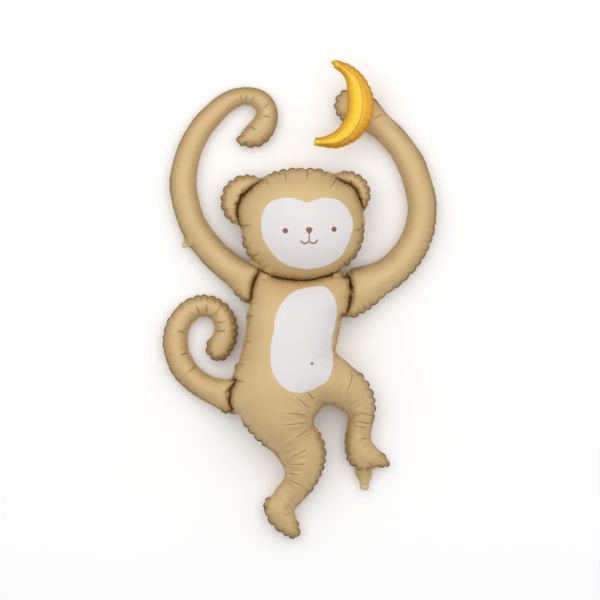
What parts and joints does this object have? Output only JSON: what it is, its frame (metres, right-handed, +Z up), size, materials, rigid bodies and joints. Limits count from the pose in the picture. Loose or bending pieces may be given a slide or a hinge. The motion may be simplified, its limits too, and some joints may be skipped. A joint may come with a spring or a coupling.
{
  "type": "foil balloon",
  "caption": "Inflated monkey-shaped foil balloon lying on its back, with curled arms and tail and a banana balloon on its hand.",
  "frame": {"origin": "middle of the bounding box at the floor that the balloon lies on", "axes": "+Z up out of the face and belly, +Y towards the head, +X to the viewer's right as the viewer looks at the face"},
  "size_m": [0.6418, 1.1198, 0.174],
  "materials": {
    "tan_foil": "satin printed foil",
    "yellow_foil": "satin printed foil"
  },
  "bodies": {
    "root": {"monkey": "tan_foil", "banana": "yellow_foil"}
  },
  "joints": []
}
